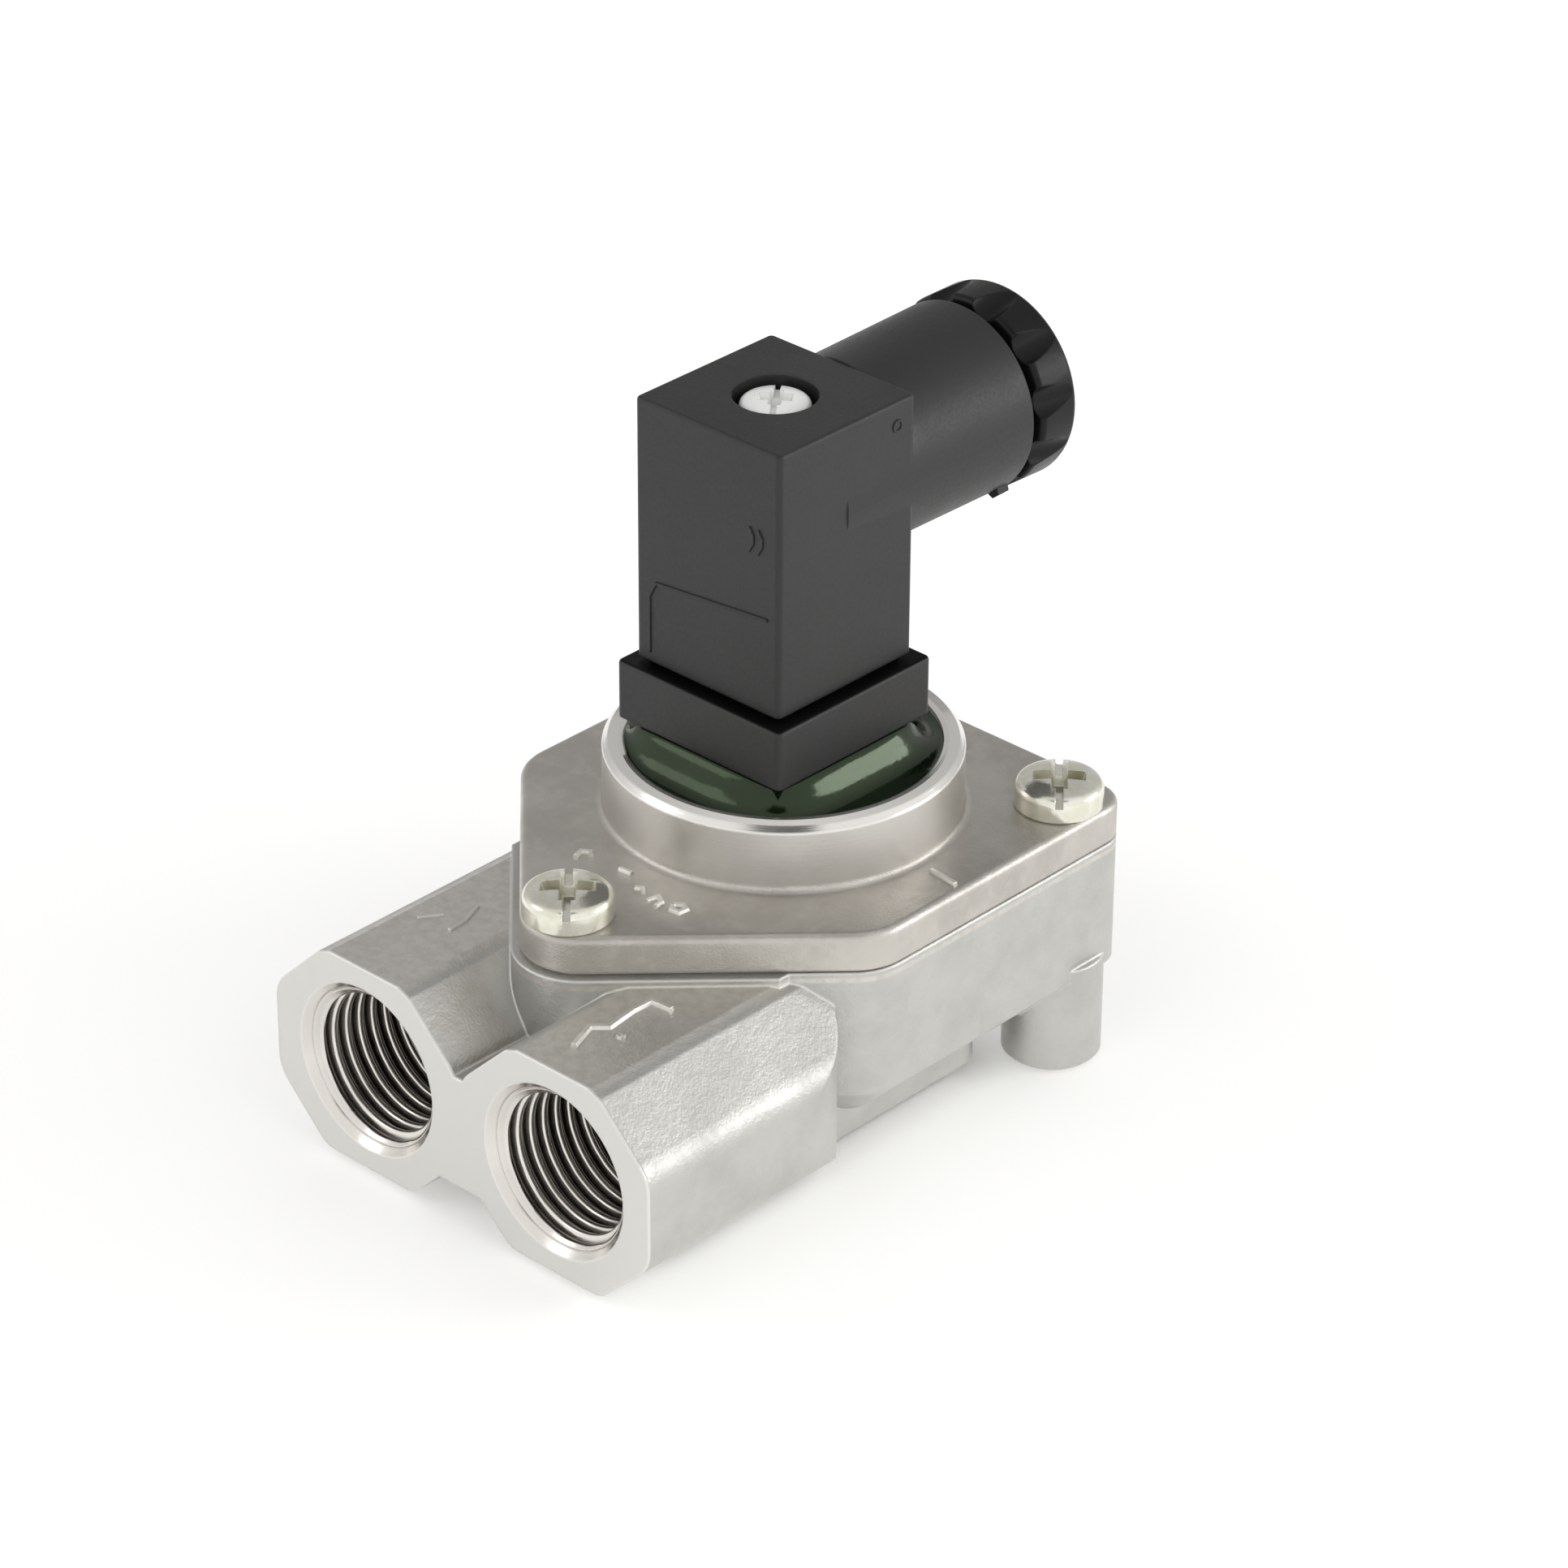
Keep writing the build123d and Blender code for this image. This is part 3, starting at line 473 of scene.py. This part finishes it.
def ring_faces(rows, cols):
    """Quads of a closed torus-like grid: rows round the section, cols round the axis."""
    faces = []
    for i in range(rows):
        for j in range(cols):
            a, b = i * cols + j, i * cols + (j + 1) % cols
            c, d = ((i + 1) % rows) * cols + (j + 1) % cols, ((i + 1) % rows) * cols + j
            faces.append((a, b, c, d))
    return faces


def thread_depth(phase):
    """Share of the thread's depth at a phase of one turn: rounded crest and root with straight flanks."""
    wave = math.sin(2 * math.pi * phase)
    return 0.5 + 0.5 * math.tanh(1.9 * wave) / math.tanh(1.9)


def thread_liner(name, x):
    """Internal pipe thread with its lead-in cone and run-out, as a liner in the port's bore."""
    pitch, crest, start, end = 1.337, 5.80, 0.63, 11.9
    outer = PORT_R - 0.015
    root = outer - 0.02
    lead_slope, run_out_slope, run_out_length = 1.05, 2.0, 0.6
    steps, cols = 170, 120
    verts = []

    def ring_point(radius, depth, angle):
        return x + radius * math.cos(angle), PORT_FACE + depth, PORT_Z + radius * math.sin(angle)

    for i in range(steps + 1):
        depth = start + (end - start) * i / steps
        lead = root - max(0.0, depth - start) * lead_slope
        run_out = root - max(0.0, end - run_out_length - depth) * run_out_slope
        for j in range(cols):
            share = thread_depth(depth / pitch + j / cols)
            radius = max(root - (root - crest) * share, lead, run_out)
            verts.append(ring_point(radius, depth, 2 * math.pi * j / cols))
    for depth in (end, start):
        verts += [ring_point(outer, depth, 2 * math.pi * j / cols) for j in range(cols)]
    finish_piece(solid(name, verts, ring_faces(steps + 3, cols)), THREAD, "housing")


def square_distance(x, y, half):
    """Distance outside a square of that half width, its corners well rounded."""
    return (abs(x) ** RESIN_CORNER_POWER + abs(y) ** RESIN_CORNER_POWER) ** (1 / RESIN_CORNER_POWER) - half


def resin_height(x, y):
    """Level of the poured resin: flat, climbing to the flange and a little to the collar's wall."""
    rise = FLANGE_BOTTOM - RESIN_LEVEL
    d = square_distance(x - PLUG_X, y - PLUG_Y, FLANGE_HALF)
    beyond = SHELF_ROUND * math.log1p(math.exp((d - RESIN_SHELF) / SHELF_ROUND))
    climb = rise * math.exp(-beyond / RESIN_REACH)
    wall = WALL_CLIMB * math.exp(-(COLLAR_BORE - math.hypot(x, y)) / WALL_CLIMB)
    return RESIN_LEVEL + climb + wall


def resin_surface():
    """Skin of resin between the connector's flange and the collar."""
    rows, cols, inner, skirt, gap = 60, 240, 6.6, 0.4, 0.02
    verts = []
    for i in range(rows):
        share = i / (rows - 1)
        for j in range(cols):
            angle = 2 * math.pi * j / cols
            c, s = math.cos(angle), math.sin(angle)
            near = inner / max(abs(c), abs(s))
            x0, y0 = PLUG_X + near * c, PLUG_Y + near * s
            b = x0 * c + y0 * s
            far = -b + math.sqrt(b * b + (COLLAR_BORE - gap) ** 2 - x0 * x0 - y0 * y0)
            x, y = x0 + far * share * c, y0 + far * share * s
            verts.append((x, y, min(resin_height(x, y), FLANGE_BOTTOM + gap)))
    for source in (rows - 1, 0):
        for j in range(cols):
            x, y, z = verts[source * cols + j]
            verts.append((x, y, RESIN_LEVEL - skirt))
    finish_piece(solid("resin_meniscus", verts, ring_faces(rows + 2, cols)), RESIN, "housing")


for side, x in (("inlet", -PORT_X), ("outlet", PORT_X)):
    thread_liner(side + "_thread", x)
resin_surface()


# ---------------------------------------------------------------- screws
def revolve(profile, cols=72):
    """Closed mesh of a profile (radius, z) that starts and ends on the axis."""
    verts, faces = [], []
    inner = profile[1:-1]
    angles = [2 * math.pi * j / cols for j in range(cols)]
    for r, z in inner:
        verts += [(r * math.cos(angle), r * math.sin(angle), z) for angle in angles]
    for i in range(len(inner) - 1):
        for j in range(cols):
            a, b = i * cols + j, i * cols + (j + 1) % cols
            faces.append((a, b, b + cols, a + cols))
    for (r, z), row in ((profile[0], 0), (profile[-1], len(inner) - 1)):
        verts.append((0, 0, z))
        faces += [(len(verts) - 1, row * cols + j, row * cols + (j + 1) % cols) for j in range(cols)]
    return verts, faces


def wedge_box(long_half, wide_half, z0, z1, taper):
    """Box about the axis whose floor is drawn in by taper lengthwise and a third as much across."""
    verts = []
    for z, draw in ((z0, taper), (z1, 0.0)):
        a, b = long_half - draw, wide_half - draw * 0.35
        verts += [(-a, -b, z), (a, -b, z), (a, b, z), (-a, b, z)]
    return verts, [(0, 1, 2, 3), (4, 5, 6, 7), (0, 1, 5, 4), (1, 2, 6, 5), (2, 3, 7, 6), (3, 0, 4, 7)]


def subtract(obj, cutters):
    """obj with the cutters taken out of its mesh, the cutters removed from the scene."""
    for cutter in cutters:
        m = obj.modifiers.new("cut", "BOOLEAN")
        m.operation, m.solver, m.object = "DIFFERENCE", "EXACT", cutter
    bpy.context.view_layer.update()
    mesh = bpy.data.meshes.new_from_object(obj.evaluated_get(bpy.context.evaluated_depsgraph_get()))
    obj.modifiers.clear()
    obj.data = mesh
    for cutter in cutters:
        bpy.data.objects.remove(cutter)
    return obj


def screw_mesh(name, head_r, head_h, shank_r, length, recess=1.0):
    """Cheese-head screw with a combined slot and cross recess, its head's seat at z 0."""
    crown, sink = head_h * 0.16, 0.04
    edge, head_h = head_h * 0.3, head_h - crown
    pitch, thread_depth_mm, point, chamfer, arc_steps = 0.25, 0.16, 0.4, 0.12, 5
    profile = [(0, -length), (shank_r * 0.75, -length), (shank_r, -length + point)]
    turns = 0 if length < LONG_SCREW else int((length - 1.5) / pitch * 0.4)
    for i in range(turns):
        z = -length + point + pitch * i
        profile += [(shank_r, z + 0.02), (shank_r - thread_depth_mm, z + pitch / 2)]
    profile += [(shank_r, -0.02), (head_r - chamfer, 0.0), (head_r, chamfer), (head_r, head_h - edge)]
    for k in range(1, arc_steps + 1):
        a = math.pi / 2 * k / arc_steps
        profile.append((head_r - edge + edge * math.cos(a), head_h - edge + edge * math.sin(a)))
    profile += [(k * head_r, head_h + crown * (1 - k ** 2) - sink) for k in (0.6, 0.4, 0.2, 0)]
    obj = solid(name, *revolve(profile))
    top = head_h + crown + 0.2
    slot = solid("slot", *wedge_box(head_r * 1.1, head_r * 0.085, head_h * 0.62, top, 0.0))
    arm, half = head_r * 0.62 * recess, head_r * 0.19
    one = solid("arm_a", *wedge_box(arm, half, head_h * 0.25, top, arm * 0.3))
    two = solid("arm_b", *wedge_box(arm, half * 1.15, head_h * 0.25, top, arm * 0.3))
    two.rotation_euler = (0, 0, math.pi / 2)
    return subtract(obj, [slot, one, two])


def place_screw(obj, x, y, z, degrees, material, body):
    """The place is put into the mesh, so that the object's own box stays tight."""
    turn = Matrix.Rotation(math.radians(degrees), 4, "Z")
    obj.data.transform(Matrix.Translation(Vector((x, y, z)) * MM) @ turn)
    finish_piece(obj, material, body)
    obj.data.set_sharp_from_angle(angle=math.radians(32))


def cover_screws():
    front, rear = SCREWS_LO[1] + COVER_HEAD_R, SCREWS_HI[1] - COVER_HEAD_R
    side = SCREWS_HI[0] - COVER_HEAD_R
    head_h, shank_r, shank_l = SCREWS_HI[2] - PLATE_TOP, 2.0, 5.0
    for n, (x, y, turn) in enumerate(((0, front, -47), (side, rear, -49), (-side, rear, 15))):
        screw = screw_mesh(f"cover_screw_{n + 1}", COVER_HEAD_R, head_h, shank_r, shank_l)
        place_screw(screw, x, y, PLATE_TOP, turn, ZINC, "housing")
        if n == 0:
            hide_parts("cover_screws")


def plug_screw():
    shank_r, shank_l, recess, turn = 1.5, PLUG_HEAD_SEAT - PLUG_SCREW_LO[2], 0.8, -52
    screw = screw_mesh("plug_screw_detail", PLUG_HEAD_R, PLUG_HEAD_H, shank_r, shank_l, recess)
    place_screw(screw, PLUG_X, PLUG_Y, PLUG_HEAD_SEAT, turn, ZINC_WHITE, "plug_screw")
    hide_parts("plug_screw")


cover_screws()
plug_screw()


# ---------------------------------------------------------------- raised marks
def strip(name, points, width, height, origin, right, up, out, material, body, slot):
    """A raised line with sloped sides along points given in a face's own right/up axes, in millimetres."""
    right, up, out = Vector(right), Vector(up), Vector(out)
    base = Vector(origin)
    verts, faces = [], []
    n = len(points)
    for i, p in enumerate(points):
        before, after = Vector(points[max(i - 1, 0)]), Vector(points[min(i + 1, n - 1)])
        along_in = (Vector(p) - before).normalized() if i else (after - Vector(p)).normalized()
        along_out = (after - Vector(p)).normalized() if i < n - 1 else along_in
        tangent = (along_in + along_out).normalized()
        side = Vector((-tangent.y, tangent.x))
        side /= max(0.5, side.dot(Vector((-along_in.y, along_in.x))))
        for offset, lift in ((-0.5, -0.15), (-0.3, 1.0), (0.3, 1.0), (0.5, -0.15)):
            q = Vector(p) + side * offset * width
            verts.append(base + right * q.x + up * q.y + out * (lift * height))
    for i in range(n - 1):
        for k in range(4):
            a, b = i * 4 + k, i * 4 + (k + 1) % 4
            faces.append((a, b, b + 4, a + 4))
    faces.append((0, 1, 2, 3))
    faces.append(tuple((n - 1) * 4 + k for k in (3, 2, 1, 0)))
    finish_piece(solid(name, verts, faces), material, body, smooth=False)


TOP_FRAME = ((0, 0, BLOCK_TOP), (1, 0, 0), (0, 1, 0), (0, 0, 1))
PLATE_FRAME = ((0, 0, PLATE_TOP), (1, 0, 0), (0, 1, 0), (0, 0, 1))
SIDE_FRAME = ((COLUMN_RIGHT, 0, 0), (0, 1, 0), (0, 0, 1), (1, 0, 0))
FRONT_FRAME = ((0, COLUMN_FRONT, 0), (1, 0, 0), (0, 0, 1), (0, -1, 0))


def arc(cx, cy, r, a0, a1, n=9):
    return [(cx + r * math.cos(math.radians(a0 + (a1 - a0) * i / (n - 1))),
             cy + r * math.sin(math.radians(a0 + (a1 - a0) * i / (n - 1)))) for i in range(n)]


def cast_mark(name, points, width=0.55, height=0.3, place=TOP_FRAME, material=None):
    # Unless told otherwise, a mark takes the painted-highlight material.
    strip(name, points, width, height, *place, material or MARK_HIGHLIGHT, "housing", "cast_metal")


def moulded_mark(name, points, width, height, place):
    strip(name, points, width, height, *place, BLACK, "plug", "black_plastic")


cast_mark("inlet_mark_tail", [(-12.4, -27.4), (-11.2, -25.6)], 0.4, 0.12, TOP_FRAME, CAST)
cast_mark("inlet_mark_head", [(-10.2, -23.1), (-9.4, -25.2), (-9.3, -27.0)], 0.45, 0.15, TOP_FRAME, CAST)
OUTLET_BAR = [(9.0, -32.0), (8.05, -29.4), (9.1, -28.4), (8.75, -25.6), (8.85, -23.7), (10.75, -23.5)]
cast_mark("outlet_mark_bar", OUTLET_BAR, 0.6, 0.3)
cast_mark("outlet_mark_dot", arc(10.6, -28.7, 0.2, 0, 330, 7), 0.4, 0.25)
COVER_MARKS = {
    "bar": [(15.5, -0.2), (18.2, -0.45)],
    "hook": [(-5.4, -17.3), (-5.6, -16.5), (-5.0, -16.1), (-4.5, -16.5)],
    "dash": [(-1.7, -16.3), (-0.5, -16.2)],
    "wave": [(1.1, -17.5), (1.7, -17.2), (2.3, -17.8)],
    "bend": [(3.1, -18.3), (3.3, -17.2), (4.0, -17.6), (4.1, -18.4)],
    "loop": [(4.9, -17.3), (5.5, -16.8), (6.1, -17.1), (6.0, -17.8), (5.3, -17.9), (4.95, -17.4)],
}
for mark, points in COVER_MARKS.items():
    cast_mark(f"cover_mark_{mark}", points, 0.5, 0.25, PLATE_FRAME)
moulded_mark("side_recess_ring", arc(4.95, 54.88, 0.45, 0, 345, 12), 0.25, 0.08, SIDE_FRAME)
moulded_mark("front_crescent_a", [(3.7, 48.2), (4.1, 48.9), (4.1, 49.6), (3.7, 50.2)], 0.3, 0.12, FRONT_FRAME)
moulded_mark("front_crescent_b", [(4.6, 48.2), (5.0, 48.9), (5.0, 49.6), (4.6, 50.2)], 0.3, 0.12, FRONT_FRAME)
LABEL_EDGE = [(-6.6, 35.8), (-6.6, 40.6), (-5.9, 41.9), (4.4, 42.9), (5.6, 43.0)]
moulded_mark("label_edge", LABEL_EDGE, 0.3, 0.12, FRONT_FRAME)
TAB_ANGLE, TAB_R = math.radians(-49.7), 7.75
TAB_OUT = (math.cos(TAB_ANGLE), 0, math.sin(TAB_ANGLE))
TAB_ORIGIN = (PLUG_X + TAB_R * TAB_OUT[0], 0, GLAND_Z + TAB_R * TAB_OUT[2])
TAB_FRAME = (TAB_ORIGIN, (0, 1, 0), (TAB_OUT[2], 0, -TAB_OUT[0]), TAB_OUT)
moulded_mark("gland_tab", [(18.7, 0), (19.9, 0)], 1.3, 0.5, TAB_FRAME)


# ---------------------------------------------------------------- floor, light and camera
def floor():
    """Backdrop lit evenly enough to read as white, with the ground under the part left in shade."""
    mesh = bpy.data.meshes.new("floor")
    size, z = 3.0, -0.0002
    corners = [(-size, -size, z), (size, -size, z), (size, size, z), (-size, size, z)]
    mesh.from_pydata(corners, [], [(0, 1, 2, 3)])
    obj = bpy.data.objects.new("floor", mesh)
    bpy.context.scene.collection.objects.link(obj)
    t = Tree("floor_white")
    x, y, z = t.split()
    tone = t.mix(t.noise(6, 2, 0.5), rgb(0.93, 0.93, 0.925), rgb(0.95, 0.95, 0.945))
    wide = t.span(t.math("ABSOLUTE", x), 17 * MM, 11 * MM)
    painted_root_shade = t.span(t.math("ABSOLUTE", t.math("ADD", y, 10 * MM)), 23 * MM, 16 * MM)
    lit = t.math("SUBTRACT", FLOOR_GLOW, t.math("MULTIPLY", t.math("MULTIPLY", wide, painted_root_shade), FLOOR_GLOW))
    white = t.finish(Base_Color=tone, Emission_Color=tone, Emission_Strength=lit, Roughness=0.9)
    mesh.materials.append(white)


def area(name, place, target, size, power, size_y=None):
    data = bpy.data.lights.new(name, "AREA")
    data.energy = power
    data.shape = "RECTANGLE"
    data.size, data.size_y = size, size_y or size
    obj = bpy.data.objects.new(name, data)
    obj.location = place
    obj.rotation_euler = (Vector(target) - Vector(place)).to_track_quat("-Z", "Y").to_euler()
    bpy.context.scene.collection.objects.link(obj)


def world():
    """Studio surroundings: bright in front and at the sides, dimmer behind and above, one dark patch."""
    w = bpy.data.worlds.new("studio")
    bpy.context.scene.world = w
    w.use_nodes = True
    nodes, links = w.node_tree.nodes, w.node_tree.links
    coords = nodes.new("ShaderNodeTexCoord")

    def patch(direction, inner, outer, dark):
        """dark inside the inner angle of a direction, 1 outside the outer angle."""
        dot = nodes.new("ShaderNodeVectorMath")
        dot.operation = "DOT_PRODUCT"
        links.new(coords.outputs["Generated"], dot.inputs[0])
        dot.inputs[1].default_value = Vector(direction).normalized()
        ramp = nodes.new("ShaderNodeMapRange")
        ramp.interpolation_type = "SMOOTHSTEP"
        links.new(dot.outputs["Value"], ramp.inputs["Value"])
        low, high = math.cos(math.radians(outer)), math.cos(math.radians(inner))
        for key, v in (("From Min", low), ("From Max", high), ("To Min", 1.0), ("To Max", dark)):
            ramp.inputs[key].default_value = v
        return ramp.outputs["Result"]

    level = patch((-0.62, 0.66, 0.35), 25, 80, BACK_LEVEL)
    for row in ((-0.1, 0.1, 1.0), 10, 60, ZENITH_LEVEL), ((0.34, -0.37, 0.865), 10, 19, PATCH_LEVEL):
        product = nodes.new("ShaderNodeMath")
        product.operation = "MULTIPLY"
        links.new(level, product.inputs[0])
        links.new(patch(*row), product.inputs[1])
        level = product.outputs[0]
    links.new(level, nodes["Background"].inputs["Strength"])
    nodes["Background"].inputs["Color"].default_value = (1.0, 0.995, 0.98, 1)


def camera():
    azimuth, elevation, roll = (math.radians(angle) for angle in (42.98, 30.08, 0.36))
    level = math.cos(elevation)
    back = Vector((math.sin(azimuth) * level, -math.cos(azimuth) * level, math.sin(elevation)))
    right0 = Vector((math.cos(azimuth), math.sin(azimuth), 0))
    up0 = back.cross(right0)
    right = math.cos(roll) * right0 + math.sin(roll) * up0
    up = -math.sin(roll) * right0 + math.cos(roll) * up0
    data = bpy.data.cameras.new("camera")
    data.sensor_width, data.lens = SENSOR_MM, LENS_MM
    data.clip_start, data.clip_end = 0.02, 20
    obj = bpy.data.objects.new("camera", data)
    turn = Matrix((right, up, back)).transposed().to_4x4()
    obj.matrix_world = Matrix.Translation(Vector(CAMERA_PLACE) * MM) @ turn
    bpy.context.scene.collection.objects.link(obj)
    bpy.context.scene.camera = obj


floor()
world()
area("right_back", (0.50, 0.44, 0.21), (0, 0.01, 0.04), 0.42, 1.05, size_y=0.19)
area("left_front", (-0.45, -0.45, 0.42), (0, 0, 0.03), 0.30, 0.32)
camera()
bpy.context.scene.view_settings.view_transform = "Standard"
